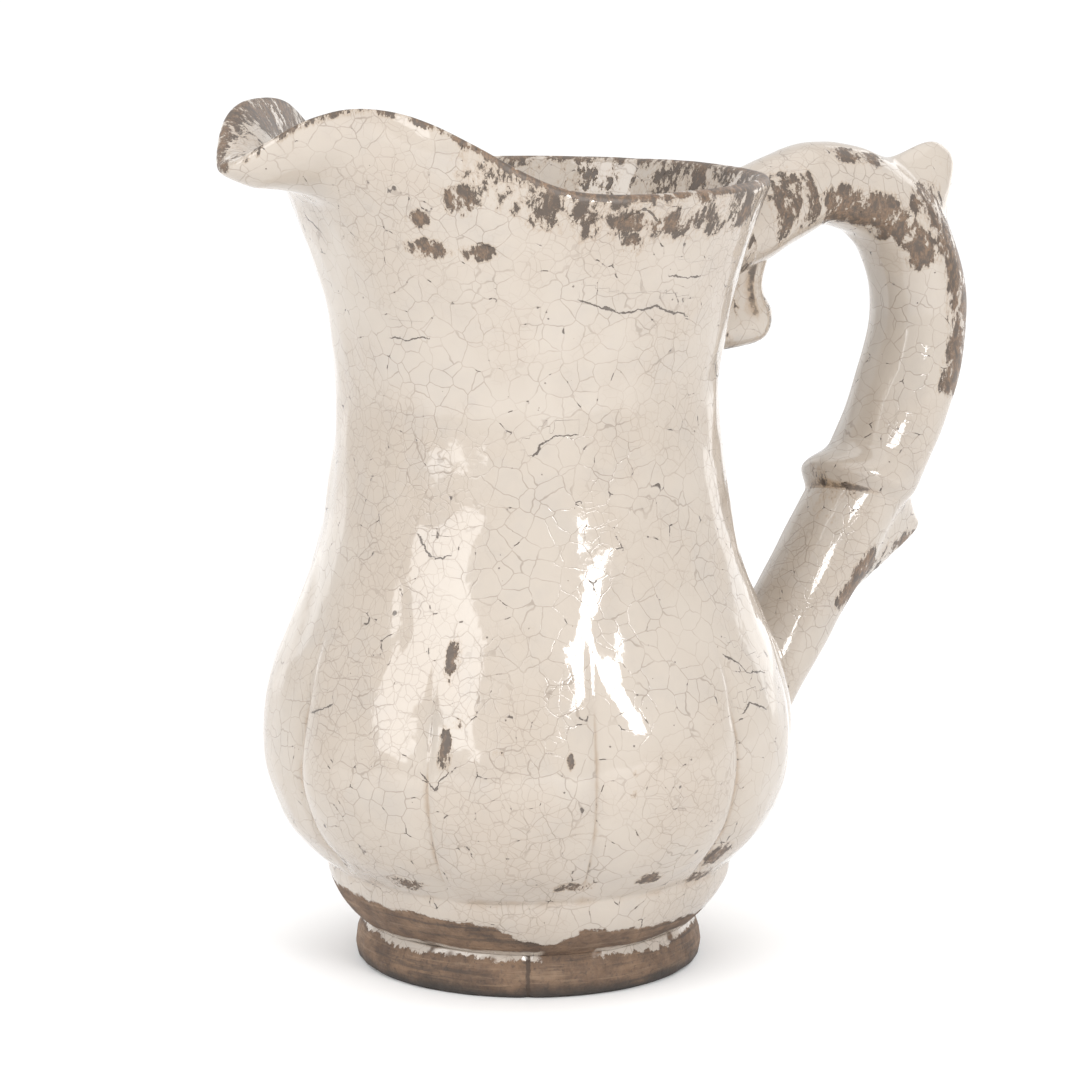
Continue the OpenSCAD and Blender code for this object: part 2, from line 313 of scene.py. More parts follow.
# %% Section of the wall
WALL_T, LIP_T, NOSE_T, NOSE_A = 7.2 * MM, 5.4 * MM, 6 * MM, 14
LIP_U = 0.985                           # share of the rows where the lip starts to turn over
LIP_ROWS = 15
COLUMNS = 380


def spread(*spans):
    """Values evenly spread over each (from, to, count) span, without repeating the joins."""
    return np.concatenate([np.linspace(start, end, count, endpoint=False) for start, end, count in spans])


outer_u = spread((0, LEDGE_SHARE, 16), (LEDGE_SHARE, LIFT_FROM, 118), (LIFT_FROM, BEAK_FROM, 28),
                 (BEAK_FROM, LIP_U, 26))
lip_share = np.linspace(0, 1, LIP_ROWS)
lip_u = 1 - (1 - LIP_U) * np.abs(2 * lip_share - 1) ** 2.2
inner_u = spread((LIP_U - 0.004, BEAK_FROM, 18), (BEAK_FROM, LIFT_FROM, 18), (LIFT_FROM, LEDGE_SHARE, 52))

row_u = np.concatenate([outer_u, lip_u, inner_u])
row_depth = np.concatenate([0 * outer_u, lip_share, 0 * inner_u + 1])
row_lobed = np.concatenate([0 * outer_u + 1, 0 * lip_u, 0 * inner_u])
angles = np.arange(COLUMNS) * 360 / COLUMNS
angles = np.where(angles > 180, angles - 360, angles)

A, U = np.meshgrid(angles, row_u, indexing="ij")
roll = NOSE_T * bell(A, NOSE_A) * smooth(share_above(U, 0.8))
thickness = mix(WALL_T, LIP_T, smooth((U - 0.55) / 0.4)) + roll
wall_points = skin(A, U, row_lobed) - skin_normal(A, U) * (thickness * row_depth)[..., None]
wall_points = uneven(wall_points, skin_normal(A, U))


def circle_rows(*rows):
    """Rows of points on level circles, one for each (radius, height)."""
    t = np.radians(angles)[:, None]
    r, z = np.array(rows).T
    return np.stack([-r * np.cos(t), -r * np.sin(t), z + 0 * t], -1)


base_rows = circle_rows((FLOOR_R + 7 * MM, FLOOR_TOP + 6 * MM), (FLOOR_R + 2.5 * MM, FLOOR_TOP + 2 * MM),
                        (FLOOR_R, FLOOR_TOP), (FLOOR_R, FOOT_TOP))
wall_points = np.concatenate([wall_points, base_rows], 1)
print("wall grid", wall_points.shape)

# %% [markdown]
# Wear is worked out on the same grid. The glaze is rubbed off along the lip, in a band just below it and on
# the inside of the neck. The bottoms of the grooves and the ledge under the lobes are darkened with painted
# shade.

# %% Where the vessel is worn
steps = np.linalg.norm(np.diff(wall_points, axis=1), axis=-1)
run = np.concatenate([np.zeros((COLUMNS, 1)), np.cumsum(steps, 1)], 1)
from_lip = run - run[:, [len(outer_u) + LIP_ROWS // 2]]
inside = from_lip > 0
from_lip = np.abs(from_lip)
A_all = np.broadcast_to(angles[:, None], run.shape)
Z_all = wall_points[..., 2]

right_side = smooth((A_all - 22) / 30) * (1 - smooth((A_all - 165) / 20))
left_side = 0.8 * smooth((-A_all - 60) / 30)
side = np.maximum(right_side, left_side)
lip_wear = mix(0.56, 0.80, side) * bell(from_lip, 3.6 * MM, 3)
under_lip = 0.50 * bell(from_lip - 9 * MM, 12 * MM, 4) * side * ~inside
nose = bell(A_all, 16)
far_spout = bell(A_all + 34, 26, 4) * 0.70
inner_wear = np.maximum(far_spout, 0.52 - 0.1 * nose) * bell(from_lip, 26 * MM, 4) * inside
inner_wear = np.maximum(inner_wear, 0.66 * bell(from_lip, 8 * MM, 3) * inside)
wear = np.maximum.reduce([lip_wear, under_lip, inner_wear])
# Painted shade: the bottoms of the grooves and the line of the ledge under the lobes get a darker colour.
ledge_shade = 0.42 * bell(Z_all - LEDGE_Z, 3 * MM) * ~inside
crease = np.maximum(0.60 * groove_share(A_all, Z_all) ** 3 * ~inside, ledge_shade)

# %% [markdown]
# Stains and open cracks have places of their own. A stain is a soft round patch added to the wear, at an
# angle from the spout and a height, with half a width and half a height. A crack is a broken line: each point
# of the grid keeps its distance from the line, with a sign for the side it is on, and the glaze turns dark
# where that distance passes through nought. That draws a hairline much finer than the grid.

# %% Stains
chance = np.random.default_rng(19)


def scatter(count, *ranges):
    """That many rows, with each value drawn evenly between the two ends of its range."""
    return [[chance.uniform(low, high) for low, high in ranges] for _ in range(count)]


# Each row: degrees from the spout, height, half width, half height, strength. These three are given one by
# one.
stains = [
    [40, 120, 4, 10, 0.60],
    [40, 92, 4, 10, 0.62],
    [112, 46, 7, 7, 0.66],
]
stains += scatter(12, (28, 130), (252, 276), (5, 14), (4, 7), (0.60, 0.72))     # under the rim
stains += scatter(5, (0, 120), (36, 50), (6, 12), (3, 5), (0.55, 0.66))         # along the ledge
stains += scatter(5, (30, 100), (70, 110), (2, 4), (2, 4), (0.50, 0.64))        # on the belly
stains += scatter(7, (180, 330), (40, 262), (5, 12), (6, 12), (0.55, 0.70))     # on the far side
outer_wear = np.zeros_like(wear)
for turn, height, half_width, half_height, strength in stains:
    off = turn_from(A_all, turn) * np.radians(1) * from_axis(wall_points)
    patch = bell(np.hypot(off / half_width, (Z_all - height * MM) / half_height) / MM, 1, 3)
    outer_wear = np.maximum(outer_wear, strength * patch)
wear = np.maximum(wear, outer_wear * ~inside)
print("stains:", len(stains))

# %% [markdown]
# Three cracks are listed one by one, and the others start near even steps round the wall. A crack is measured
# on the wall unrolled, where a degree is as wide as it is at the crack's own height. Its two ends fade out.

# %% Cracks
CRACK_FAR = 9 * MM                      # distance that stands for no crack
CRACK_REACH = 6 * MM                    # how far from a crack the grid still knows of it
CRACK_TAPER = 3 * MM
DEGREE_HEIGHTS, DEGREE_RADII = [0.03, 0.08, 0.19, 0.27], [0.07, 0.09, 0.066, 0.08]


def broken_line(turn, height, length, corners, bend):
    """Corners of a crack that goes round the wall and rises or falls by chance from corner to corner."""
    rises = chance.uniform(-bend, bend, corners).cumsum()
    return [(turn + length * k / (corners - 1), height + rises[k]) for k in range(corners)]


cracks = [
    broken_line(70, 240, 38, 7, 3),     # the long one under the rim
    broken_line(15, 225, 15, 4, 3),     # one on the neck, towards the spout
    broken_line(110, 95, 10, 4, 4),     # one on the belly, by the handle
]
for start in range(-20, 320, 18):
    turn, height, length = start + chance.uniform(0, 10), chance.uniform(60, 262), chance.uniform(6, 16)
    cracks.append(broken_line(turn, height, length, 3, 8))

crack = np.full(run.shape, CRACK_FAR)
crack_here = np.zeros(run.shape)
for line in cracks:
    line = np.array(line)
    radius = float(np.interp(line[:, 1].mean() * MM, DEGREE_HEIGHTS, DEGREE_RADII))
    degree = np.radians(1) * radius
    across = turn_from(A_all, line[0, 0]) * degree
    corners = np.stack([(line[:, 0] - line[0, 0]) * degree, line[:, 1] * MM], -1)
    last = len(corners) - 2
    for k, (start, end) in enumerate(zip(corners, corners[1:])):
        way = end - start
        length = np.hypot(*way)
        off_x, off_z = across - start[0], Z_all - start[1]
        t = (off_x * way[0] + off_z * way[1]) / (way @ way)
        low, high = (-0.05 if k else 0), (1 if k == last else 1.05)
        near = (t > low) & (t < high)
        signed = (off_x * way[1] - off_z * way[0]) / length
        fade = np.clip((t if k == 0 else 1) * length / CRACK_TAPER, 0, 1)
        fade = fade * np.clip(((1 - t) if k == last else 1) * length / CRACK_TAPER, 0, 1)
        closer = near & (np.abs(signed) < np.abs(crack)) & (np.abs(signed) < CRACK_REACH) & ~inside
        crack = np.where(closer, signed, crack)
        crack_here = np.where(closer, fade, crack_here)

wall = make_mesh("wall", wall_points, grid_quads(COLUMNS, wall_points.shape[1], True),
                 wear=wear, crease=crease, crack=crack, crack_here=crack_here)
print("cracks:", len(cracks))

# %% [markdown]
# Cutting with a plane keeps one side of the mesh and leaves an open loop, which is filled. The loop's edges
# are marked sharp, so that each side is shaded right up to the joint and the joint doesn't show in the glaze.

# %% Body and spout
JOINT_Z, JOINT_END_X = 226 * MM, 16 * MM
joint_point = Vector((-NECK_R, 0, JOINT_Z))
joint_slope = Vector((JOINT_END_X + NECK_R, 0, RIM_Z + 1 * MM - JOINT_Z)).normalized()
joint_normal = Vector((-joint_slope.z, 0, joint_slope.x))


def half_of(piece, name, above):
    """The part of a closed mesh above or below the joint's plane, closed again."""
    work = bmesh.new()
    work.from_mesh(piece.data)
    geometry = work.verts[:] + work.edges[:] + work.faces[:]
    cut = bmesh.ops.bisect_plane(work, geom=geometry, plane_co=joint_point, plane_no=joint_normal,
                                 dist=1e-7, clear_inner=above, clear_outer=not above)["geom_cut"]
    edges = [e for e in cut if isinstance(e, bmesh.types.BMEdge)]
    for edge in edges:
        edge.smooth = False
    bmesh.ops.triangle_fill(work, edges=edges, use_beauty=False, use_dissolve=False)
    bmesh.ops.recalc_face_normals(work, faces=work.faces)
    mesh = bpy.data.meshes.new(name)
    work.to_mesh(mesh)
    work.free()
    half = bpy.data.objects.new(name, mesh)
    bpy.context.scene.collection.objects.link(half)
    return half


body = half_of(wall, "vessel_body", above=False)
spout = half_of(wall, "vessel_spout", above=True)
bpy.data.objects.remove(wall)
print("body and spout", len(body.data.polygons), len(spout.data.polygons))

# %% [markdown]
# ## The foot
#
# The foot ring is a turned ring of coarse bare clay. Its outline is a short closed curve with rounded
# corners, carried round the axis, and the same unevenness keeps its edge from looking machined. The floor
# slab closes the vessel inside it.

# %% Foot ring and floor
FOOT_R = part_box("foot_ring")[1][0]
FOOT_BORE_R = 44 * MM
FOOT_JOINT_A = 57.5                     # where the ends of the ring of clay were joined
foot_outline = [
    (FOOT_BORE_R - 2 * MM, FOOT_TOP), (FOOT_BORE_R, 0), (FOOT_R - 2.6 * MM, 0), (FOOT_R - 0.8 * MM, 1.4 * MM),
    (FOOT_R, FOOT_TOP / 3), (FOOT_R - 0.5 * MM, FOOT_TOP * 0.6), (FOOT_R - 1.8 * MM, FOOT_TOP - 2.5 * MM),
    (WAIST_R, FOOT_TOP),
]


def densify(points, count):
    """Each straight side of a closed outline split into count equal steps."""
    points = np.array(points)
    ahead = np.roll(points, -1, 0)
    t = np.arange(count)[None, :, None] / count
    return (points[:, None] + (ahead - points)[:, None] * t).reshape(-1, 2)


foot_rows = densify(foot_outline, 6)
foot_points = circle_rows(*foot_rows)
outward = unit(foot_points * (1, 1, 0))
coarse = 0.35 * unevenness(foot_points * 2.5) * (foot_points[..., 2] > 0.3 * MM)
foot_joint = bell(np.broadcast_to(angles[:, None], coarse.shape) - FOOT_JOINT_A, 1.2)
coarse = coarse - 0.9 * MM * foot_joint * (from_axis(foot_points) > WAIST_R - 1 * MM)
foot_points = foot_points + outward * np.minimum(coarse, 0.4 * MM)[..., None]
foot = make_mesh("foot_ring_clay", foot_points, grid_quads(COLUMNS, len(foot_rows), True),
                 wear=0 * coarse, crease=foot_joint)

half_slab = np.array([0, 12, 24, 36, 46, 50]) / 50 * FLOOR_R
slab_radii = np.concatenate([half_slab, half_slab[::-1]])
slab_heights = np.repeat([FLOOR_TOP, FOOT_TOP], 6)
slab_points = circle_rows(*zip(slab_radii, slab_heights))
slab = make_mesh("floor_slab", slab_points, grid_quads(COLUMNS, 12, False),
                 wear=0 * slab_points[..., 0] + 0.35, crease=0 * slab_points[..., 0])

# %% [markdown]
# ## The handle
#
# The handle is a roll of clay bent into an arch. Its centre line runs in the plane through the spout, and
# each point of the line carries a radius. The line has three parts: a root that rises from the wall, an arch
# and a straight arm. Round the line, angle 0 faces the vessel and 180 faces away.

# %% Tube along a path
HANDLE_W = 1.04                         # width of the handle across, over its thickness
# The path's numbers are in millimetres until the three parts are joined.
ROOT_X, ROOT_Z, ROOT_STEPS, ROOT_BEND, ROOT_SWELL = 72, 246, 3, 1.3, 3
ARCH_X, ARCH_Z, ARCH_W, ARCH_H, ARCH_STEPS, ARCH_STEP_A = 123, 214, 46, 49, 4, 28
ARM_TOP_X, ARM_TOP_Z, ARM_FOOT_X, ARM_FOOT_Z, ARM_STEPS = 154, 168.5, 82, 63, 4
ARCH_R, GRIP_R, ARM_R = 15, 17.4, 15

root_share = np.arange(ROOT_STEPS) / ROOT_STEPS
root_points = np.stack([
    mix(ROOT_X, ARCH_X, root_share),
    mix(ARCH_Z + ARCH_H, ROOT_Z, (1 - root_share) ** ROOT_BEND),
    ARCH_R + ROOT_SWELL * (1 - root_share),
], -1)
arch_share = np.arange(ARCH_STEPS + 1)
arch_angle = np.radians(90 - ARCH_STEP_A * arch_share)
arch_points = np.stack([
    ARCH_X + ARCH_W * np.cos(arch_angle),
    ARCH_Z + ARCH_H * np.sin(arch_angle),
    mix(ARCH_R, GRIP_R, smooth(arch_share / (ARCH_STEPS - 1))),
], -1)
arm_share = np.arange(ARM_STEPS + 1) / ARM_STEPS
arm_points = np.stack([
    mix(ARM_TOP_X, ARM_FOOT_X, arm_share),
    mix(ARM_TOP_Z, ARM_FOOT_Z, arm_share),
    mix(GRIP_R, ARM_R, arm_share),
], -1)
grip_path = np.concatenate([root_points, arch_points, arm_points]) * MM


def path_frame(path, place):
    """Point, radius and the direction towards the vessel, at a place on a path in the XZ plane."""
    here = along(path, place)
    step = along(path, np.minimum(place + 0.02, len(path) - 1)) - along(path, np.maximum(place - 0.02, 0))
    heading = unit(step[..., :2])
    x, z, radius = np.moveaxis(here, -1, 0)
    centre = np.stack([x, 0 * x, z], -1)
    inward = np.stack([heading[..., 1], 0 * x, -heading[..., 0]], -1)
    return centre, radius, inward


def tube_point(path, place, around, widen=HANDLE_W, deepen=1.0, grow=0.0):
    """centre + inward r cos(around) + sideways r widen sin(around); deepen stretches the vessel's side."""
    centre, radius, inward = path_frame(path, place)
    b = np.radians(around)
    deep = np.where(np.cos(b) > 0, deepen, 1)
    radius = radius + grow
    out = inward * (radius * deep * np.cos(b))[..., None]
    out[..., 1] += radius * widen * np.sin(b)
    return centre + out


def even_places(path, start, end, count):
    """Places along a path that are the same distance apart in space."""
    fine = np.linspace(start, end, 600)
    line = along(path, fine)[:, :2]
    length = np.concatenate([[0], np.cumsum(np.linalg.norm(np.diff(line, axis=0), axis=1))])
    return np.interp(np.linspace(0, length[-1], count), length, fine)


# %% [markdown]
# Pieces pressed on the vessel must stop inside its wall. A point that would come through is pushed out to a
# set depth below the skin, so the piece ends in a cap that follows the wall.

# %% Stopping at the wall
fine_u = np.linspace(0, 1, 800)
fine_r, fine_z = profile(fine_u).T


def wall_radius(p):
    """Radius of the lobed skin at the height and angle of the points p, away from the spout."""
    a = np.degrees(np.arctan2(-p[..., 1], -p[..., 0]))
    return np.interp(p[..., 2], fine_z, fine_r) - GROOVE_DEPTH * groove_share(a, p[..., 2])


def outside_by(p):
    """How far the points p are outside the skin, level with the table."""
    return from_axis(p) - wall_radius(p)


def widened(p, scale):
    """The points p with x and y times scale."""
    return p * np.stack([scale, scale, 1 + 0 * scale], -1)


def stop_at_wall(p, depth):
    """Points deeper than depth below the skin, moved out to that depth."""
    radius = from_axis(p)
    wanted = np.maximum(radius, wall_radius(p) - depth)
    scale = wanted / np.maximum(radius, 1e-9)
    return widened(p, scale)


# %% [markdown]
# The handle's tube runs from inside one joint to inside the other, and each end is closed by a few rings
# that shrink to a point. Where hands have rubbed it, a stretch of wear has a place along the handle and a
# bearing round it.

# %% Handle
AROUND = 112
HANDLE_FROM, HANDLE_TO, HANDLE_RINGS = 0.25, 11.9, 330
CAP_SHARES = (0, 0.35, 0.7)             # how far out each ring of a cap is
CAP_RINGS = len(CAP_SHARES)


def capped(points):
    """Rows for a tube that is closed at both ends by points drawn to the middle of the end rings."""
    first, last = points[:, :1].mean(0, keepdims=True), points[:, -1:].mean(0, keepdims=True)
    first, last = (np.repeat(e, len(points), 0) for e in (first, last))
    opening = [mix(first, points[:, :1], t) for t in CAP_SHARES]
    closing = [mix(last, points[:, -1:], t) for t in CAP_SHARES[::-1]]
    return np.concatenate(opening + [points] + closing, 1)


def tube_quads(points):
    """Quads of the capped tube over the grid of points."""
    return grid_quads(AROUND, points.shape[1] + 2 * CAP_RINGS, False)


def streaks(place, around, start, end, middle, half):
    """A worn stretch of the handle, from start to end along it and half degrees either side of middle."""
    beside = bell(turn_from(around, middle), half, 4)
    return beside * smooth((place - start) / 0.35) * (1 - smooth((place - end) / 0.35))


def handle_wear(place, around):
    """The arch's near side and shoulder are rubbed brown, and the outside of the grip is streaked."""
    return np.maximum.reduce([
        0.68 * streaks(place, around, 2.2, 4.3, 298, 42), 0.70 * streaks(place, around, 4.0, 5.2, 290, 26),
        0.72 * streaks(place, around, 4.7, 7.2, 236, 44), 0.60 * streaks(place, around, 0.8, 2.2, 262, 55),
        0.62 * streaks(place, around, 2.7, 3.6, 218, 22), 0.66 * streaks(place, around, 4.0, 4.9, 240, 34),
        0.74 * streaks(place, around, 9.0, 9.9, 236, 30), 0.40 * streaks(place, around, 8.5, 9.2, 340, 60),
        0.60 * streaks(place, around, 1.6, 3.4, 90, 40), 0.60 * streaks(place, around, 6.0, 8.0, 120, 40),
        0.24 + 0 * place,
    ])


around = np.arange(AROUND) * 360 / AROUND
handle_places = even_places(grip_path, HANDLE_FROM, HANDLE_TO, HANDLE_RINGS)
B, S = np.meshgrid(around, handle_places, indexing="ij")
handle_points = tube_point(grip_path, S, B)
handle_points = uneven(handle_points, unit(handle_points - path_frame(grip_path, S)[0]))
handle_points = stop_at_wall(handle_points, 2.5 * MM)
pad = ((0, 0), (CAP_RINGS, CAP_RINGS))
handle = make_mesh("scroll_handle", capped(handle_points), tube_quads(handle_points),
                   wear=np.pad(handle_wear(S, B), pad), crease=np.pad(0 * S, pad))

# %% [markdown]
# ## Lumps on the handle
#
# The thumb rest and the spur were pressed on wet and smoothed in. Each is a round patch of the handle's own
# surface, drawn outwards most in the middle and not at all at its edge, where it runs level into the handle.
# A second sheet just under the surface closes it.

# %% Drawn-out lumps
LUMP_RINGS, LUMP_SIDES = 46, 96
UNDER = 1.2 * MM                        # how deep the closing sheet lies under the surface


def lump(name, place, turn, up_length, down_length, half_width, direction, height, shape, wear_here):
    """Polar patch of the handle round (place, turn); its points move by direction x height x shape(q)."""
    q, phi = np.meshgrid(np.linspace(0, 1, LUMP_RINGS), np.arange(LUMP_SIDES) * 2 * np.pi / LUMP_SIDES)
    length = np.where(np.cos(phi) > 0, down_length, up_length)
    centre, radius, _ = path_frame(grip_path, np.array(place))
    ahead = path_frame(grip_path, np.array(place + 0.05))[0]
    per_place = np.linalg.norm(ahead - centre) / 0.05
    s = place + q * np.cos(phi) * length / per_place
    b = turn + np.degrees(q * np.sin(phi) * half_width / radius)
    base = tube_point(grip_path, s, b)
    out = unit(base - path_frame(grip_path, s)[0])
    base = uneven(base, out)
    pull = np.array(direction) * (height * shape(q))[..., None]
    top = base + out * (0.12 * MM * (1 - q**6))[..., None] + pull
    under = base - out * UNDER
    rows = np.concatenate([top, under[:, ::-1]], 1)
    worn = np.maximum(handle_wear(s, b), wear_here * (1 - q**3) * smooth(np.cos(phi) + 0.6))
    worn = np.concatenate([worn, worn[:, ::-1]], 1)
    return make_mesh(name, rows, grid_quads(LUMP_SIDES, rows.shape[1], False), wear=worn, crease=0 * worn)


def knob_shape(q):
    """A round-topped knob with hollow flanks: a steep bell that is exactly 0 at the edge."""
    return (bell(q, 0.42, 3.4) + 0.12 * (1 - q) ** 2) / 1.12 * (1 - q**6)


def thorn_shape(q):
    """A blunt thorn: (1 - q) ^ 1.5, rounded at the tip."""
    return (1 - np.sqrt(q * q + 0.02)).clip(0) ** 1.5 * (1 - q**8)


thumb = lump("thumb_rest_knob", 4.67, 180, 27 * MM, 19 * MM, 19 * MM,
             (0.61, 0, 0.79), 18.5 * MM, knob_shape, 0.34)
spur = lump("handle_thorn", 8.98, 180, 27 * MM, 30 * MM, 14 * MM,
            (0.995, 0, 0.08), 24.5 * MM, thorn_shape, 0.74)

# %% [markdown]
# The collar is a ring of clay. It swells slowly from above and ends in an edge below, which is darker in
# colour, and it stands out more towards the vessel.

# %% Collar
COLLAR_FROM, COLLAR_TO = 8.3, 8.97
COLLAR_TILT, COLLAR_LOW = 0.18, 32       # the ring is tilted: its lowest point is 32 degrees from the vessel
v = np.linspace(0, 1, 60)
collar_swell = np.where(v < 0.66, smooth(v / 0.66) ** 1.3, 1 - smooth((v - 0.66) / 0.34))
B, V = np.meshgrid(around, v, indexing="ij")
S = mix(COLLAR_FROM, COLLAR_TO, V) - COLLAR_TILT * (1 - np.cos(np.radians(B - COLLAR_LOW)))
collar_base = tube_point(grip_path, S, B)
collar_out = unit(collar_base - path_frame(grip_path, S)[0])
collar_base = uneven(collar_base, collar_out)
stand = (3.0 + 2.6 * np.cos(np.radians(B))) * MM
collar_top = collar_base + collar_out * (stand * collar_swell + 0.1 * MM * np.sin(np.pi * V))[..., None]
collar_rows = np.concatenate([collar_top, (collar_base - collar_out * UNDER)[:, ::-1]], 1)
# The colour is darker along the lower edge, most on the side towards the vessel.
lower_edge_dark = bell(V - 0.94, 0.09) * mix(0.2, 0.78, bell(turn_from(B, 335), 46, 4))
lower_edge_dark = np.concatenate([lower_edge_dark, lower_edge_dark[:, ::-1]], 1)
collar_wear = np.concatenate([handle_wear(S, B), handle_wear(S, B)[:, ::-1]], 1)
collar = make_mesh("clay_collar", collar_rows, grid_quads(AROUND, collar_rows.shape[1], True),
                   wear=collar_wear, crease=lower_edge_dark)

# %% [markdown]
# ## The drop under the upper joint
#
# A strap of clay runs down the back of the neck from the joint and ends in a flat-bottomed bulb. It is the
# same kind of tube as the handle, but its section is stretched towards the neck, so that it is a web there.

# %% Drop terminal
drop_path = np.array([
    (90, 248, 8), (88.6, 241, 9.2), (87, 233, 9), (86.6, 226, 9.8), (87.5, 218.5, 12.2), (88.6, 213.4, 11.4),
    (89.1, 210, 8.8), (89.3, 208.6, 5),
]) * MM
B, S = np.meshgrid(around, even_places(drop_path, 0, len(drop_path) - 1, 80), indexing="ij")
drop_points = tube_point(drop_path, S, B, widen=1.05, deepen=2.3)
drop_points = uneven(drop_points, unit(drop_points - path_frame(drop_path, S)[0]))
drop_points = stop_at_wall(drop_points, 2 * MM)
strap_line = 0.85 * bell(np.abs(turn_from(B, 0)) - 92, 12) * smooth((4.4 - S) / 0.8)
end_line = bell(S - 6.4, 0.3)
drop = make_mesh("drop_terminal_clay", capped(drop_points), tube_quads(drop_points),
                 wear=np.pad(0.40 + 0.25 * bell(S - 6.6, 0.6), pad, constant_values=0.6),
                 crease=np.pad(np.maximum(strap_line, end_line), pad))

# %% [markdown]
# ## Clay smeared over the joints
#
# Where the handle meets the wall, the maker pressed a coil of clay into the corner and smoothed it. Its
# section starts on the handle, ends on the wall and bends towards the corner between them, which makes the
# two flow into each other. The corner is found along each line of the handle as the first place where it
# comes through the skin.

# %% Luting fillets
CURVE_STEPS = 26                        # points of a fillet's section that show


def first_outside(around, start, end):
    """The place between start and end where each line of the handle comes through the skin."""
    place = np.linspace(start, end, 500)
    b, s = np.meshgrid(around, place, indexing="ij")
    out = outside_by(tube_point(grip_path, s, b))
    crossing = np.argmax(out > 0, axis=1)
    return place[crossing]


def fillet(name, start, end, on_handle, on_wall, wear_here):
    """A ring whose section is the curve from the handle, by the corner, to the wall, closed underneath."""
    corner_at = first_outside(around, start, end)
    corner = tube_point(grip_path, corner_at, around)
    forward = np.sign(end - start)
    per_place = 20 * MM
    high = tube_point(grip_path, corner_at + forward * on_handle / per_place, around)
    away = unit(corner - path_frame(grip_path, corner_at)[0])
    radial = unit(corner * (1, 1, 0))
    slide = unit(away - radial * (away * radial).sum(-1, keepdims=True) * 0.8)
    low = corner + slide * on_wall
    low[:, 2] = np.minimum(low[:, 2], RIM_Z - 2.5 * MM)
    low = widened(low, wall_radius(low) / from_axis(low))
    t = np.linspace(0, 1, CURVE_STEPS)[None, :, None]
    curve = high[:, None] * (1 - t) ** 2 + 2 * corner[:, None] * t * (1 - t) + low[:, None] * t**2
    lift = unit(away + radial)[:, None] * 0.15 * MM * np.sin(np.pi * t)
    curve = curve + lift
    sunk_low = low - radial * 1.5 * MM
    sunk_corner = corner - radial * 2 * MM - away * 2 * MM
    sunk_high = high - away * 1.5 * MM
    rows = np.concatenate([curve, sunk_low[:, None], sunk_corner[:, None], sunk_high[:, None]], 1)
    rows = uneven(rows, unit(away + radial)[:, None])
    rings = rows.shape[1]
    # The colour is darker along the middle of the section, in the corner between handle and wall.
    crease_shade_and_marks = np.zeros((AROUND, rings))
    crease_shade_and_marks[:, :CURVE_STEPS] = 0.55 * bell(t[0, :, 0] - 0.5, 0.16)
    return make_mesh(name, rows, grid_quads(AROUND, rings, True), wear=0 * crease_shade_and_marks + wear_here, crease=crease_shade_and_marks)


upper_fillet = fillet("upper_luting_clay", 0.25, 3.0, 7 * MM, 6 * MM, 0.5)
lower_fillet = fillet("lower_luting_clay", 11.9, 9.0, 8 * MM, 7 * MM, 0.25)

# %% [markdown]
# ## Finishes
#
# A material is a graph of nodes. One class stands for a socket of the graph: arithmetic on sockets adds Math
# nodes, and node() adds any other kind, with its settings first and then the values or links of its sockets.

# %% Sockets as values
class Wire:
    """A socket of a material's node tree, or the tree's start when it has no socket."""

    def __init__(self, tree, socket=None):
        self.tree, self.socket = tree, socket

    def node(self, kind, settings=None, sockets=None, output=0):
        """A new node of that kind; settings are its own properties, sockets its inputs' values or links."""
        made = self.tree.nodes.new(kind)
        for key, value in (settings or {}).items():
            setattr(made, key, value)
        for key, value in (sockets or {}).items():
            if isinstance(value, Wire):
                self.tree.links.new(value.socket, made.inputs[key])
            else:
                made.inputs[key].default_value = value
        return Wire(self.tree, made.outputs[output] if made.outputs else None)

    def math(self, operation, *values):
        """A Math node of that operation on the values."""
        return self.node("ShaderNodeMath", {"operation": operation}, dict(enumerate(values)))

    def __add__(self, other):
        return self.math("ADD", self, other)

    def __sub__(self, other):
        return self.math("SUBTRACT", self, other)

    def __rsub__(self, other):
        return self.math("SUBTRACT", other, self)

    def __mul__(self, other):
        return self.math("MULTIPLY", self, other)

    __radd__, __rmul__ = __add__, __mul__


# %% [markdown]
# Every mark on the pot is made from a few patterns: cloudy noise, the borders between cells and dots in
# their middles. A smooth step turns a pattern into a mask, and a blend lays a colour where the mask is 1.

# %% Patterns
OBJECT_OUTPUT, Z_OUTPUT, FACTOR_OUTPUT = 3, 2, 2        # outputs of Texture Coordinate, Separate, Attribute


def step_up(value, start, end):
    """0 below start, 1 above end, and a smooth step between them; start may be above end."""
    return value.node("ShaderNodeMapRange", {"interpolation_type": "SMOOTHSTEP"},
                      {"Value": value, "From Min": start, "From Max": end})


def blend(share, low, high):
    """The colour low where share is 0 and high where it is 1."""
    return share.node("ShaderNodeMix", {"data_type": "RGBA"}, {0: share, 6: low, 7: high}, output=2)


def noise(place, size, detail=3, roughness=0.55):
    """Cloudy noise about 0.5, whose largest lumps are size metres across."""
    return place.node("ShaderNodeTexNoise", None,
                      {"Vector": place, "Scale": 1 / size, "Detail": detail, "Roughness": roughness})


def stretched(place, x, y, z):
    """The place with each axis scaled, so that a pattern on it is drawn out."""
    return place.node("ShaderNodeVectorMath", {"operation": "MULTIPLY"}, {0: place, 1: (x, y, z)})


def warped(place, size, amount):
    """The place pushed about by noise, so that straight lines on it wander."""
    push = place.node("ShaderNodeTexNoise", None, {"Vector": place, "Scale": 1 / size, "Detail": 2}, output=1)
    centred = place.node("ShaderNodeVectorMath", {"operation": "SUBTRACT"}, {0: push, 1: (0.5, 0.5, 0.5)})
    scaled = place.node("ShaderNodeVectorMath", {"operation": "SCALE"}, {0: centred, "Scale": amount})
    return place.node("ShaderNodeVectorMath", {"operation": "ADD"}, {0: place, 1: scaled})


